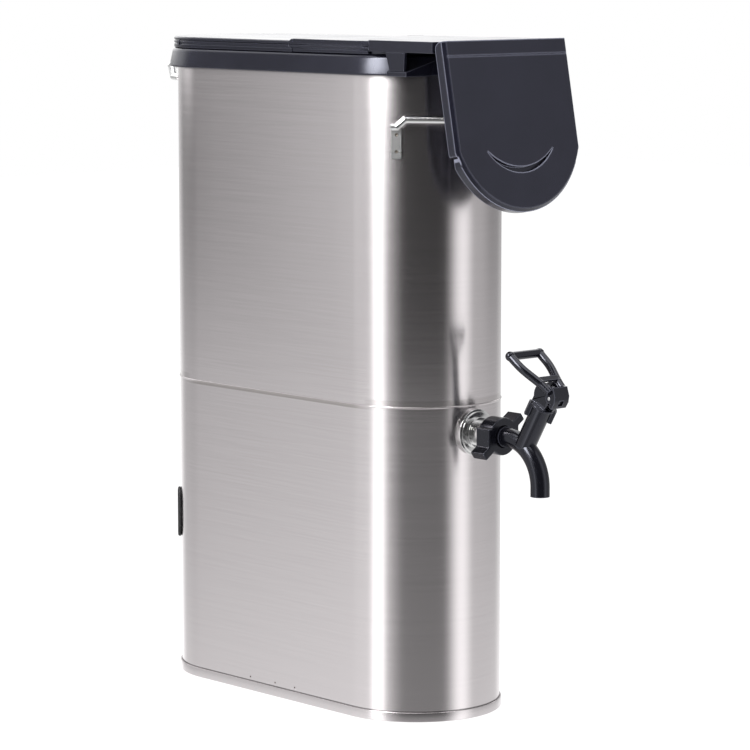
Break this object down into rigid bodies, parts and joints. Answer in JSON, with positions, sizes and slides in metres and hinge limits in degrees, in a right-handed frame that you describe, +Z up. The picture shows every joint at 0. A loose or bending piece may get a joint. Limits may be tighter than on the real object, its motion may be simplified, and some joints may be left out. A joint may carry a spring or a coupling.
{
  "type": "drink dispenser",
  "caption": "Narrow oval stainless drink dispenser on a closed skirt, with a hinged lift-off lid, an apron flap, rod handles and a lever tap with a curved spout.",
  "frame": {"origin": "middle of the base pan's underside, on the floor", "axes": "+Z up, -Y towards the tap, +X to the right as seen from the front"},
  "size_m": [0.176, 0.5263, 0.6333],
  "materials": {
    "brushed_steel": "horizontal brushed satin",
    "bright_steel": "polished",
    "black_plastic": "satin gloss",
    "black_rubber": "matt"
  },
  "bodies": {
    "container": {"base_pan": "brushed_steel", "lower_skirt": "brushed_steel", "upper_tank": "brushed_steel", "tank_floor": "brushed_steel", "sump_cup": "brushed_steel", "rim_ring": "black_plastic", "front_handle": "brushed_steel", "rear_handle": "brushed_steel", "rear_bumpers": "black_rubber", "faucet_flange": "bright_steel", "faucet_shank": "bright_steel", "coupling_washer": "black_rubber", "faucet_body": "black_plastic", "bonnet_cap": "black_plastic", "lever_pin": "bright_steel", "valve_spring": "bright_steel"},
    "lid": {"rear_lid": "black_plastic", "lid_screws": "black_plastic", "cover_hinge_pin": "bright_steel"},
    "cover": {"front_cover": "black_plastic", "flap_hinge_pin": "bright_steel"},
    "flap": {"front_flap": "black_plastic"},
    "lever": {"tap_lever": "black_plastic"},
    "valve": {"valve_stem": "bright_steel", "seat_cup": "black_rubber"},
    "nut": {"wing_nut": "black_plastic"}
  },
  "joints": [
    {"name": "lid_lift", "type": "slide", "parent": "container", "child": "lid", "axis": [0, 0, 1], "range_m": [0, 0.1]},
    {"name": "cover_hinge", "type": "hinge", "parent": "lid", "child": "cover", "pos_m": [0, -0.032, 0.6268], "axis": [-1, 0, 0], "range_deg": [0, 90]},
    {"name": "flap_hinge", "type": "hinge", "parent": "cover", "child": "flap", "pos_m": [0, -0.227, 0.6259], "axis": [-1, 0, 0], "range_deg": [0, 75]},
    {"name": "lever_tip", "type": "hinge", "parent": "container", "child": "lever", "pos_m": [0, -0.29862, 0.31255], "axis": [1, 0, 0], "range_deg": [0, 30], "stiffness_Nm_per_rad": 0.4, "springref_deg": -14.32},
    {"name": "valve_lift", "type": "slide", "parent": "container", "child": "valve", "axis": [0, -0.5075, 0.8616], "range_m": [0, 0.0073], "deforming": ["valve_spring"]},
    {"name": "nut_turn", "type": "hinge", "parent": "container", "child": "nut", "pos_m": [0, -0.2234, 0.27], "axis": [0, -1, 0], "continuous": true}
  ],
  "couplings": [
    {"joint": "valve_lift", "follows": "lever_tip", "m_per_rad": 0.0135}
  ]
}
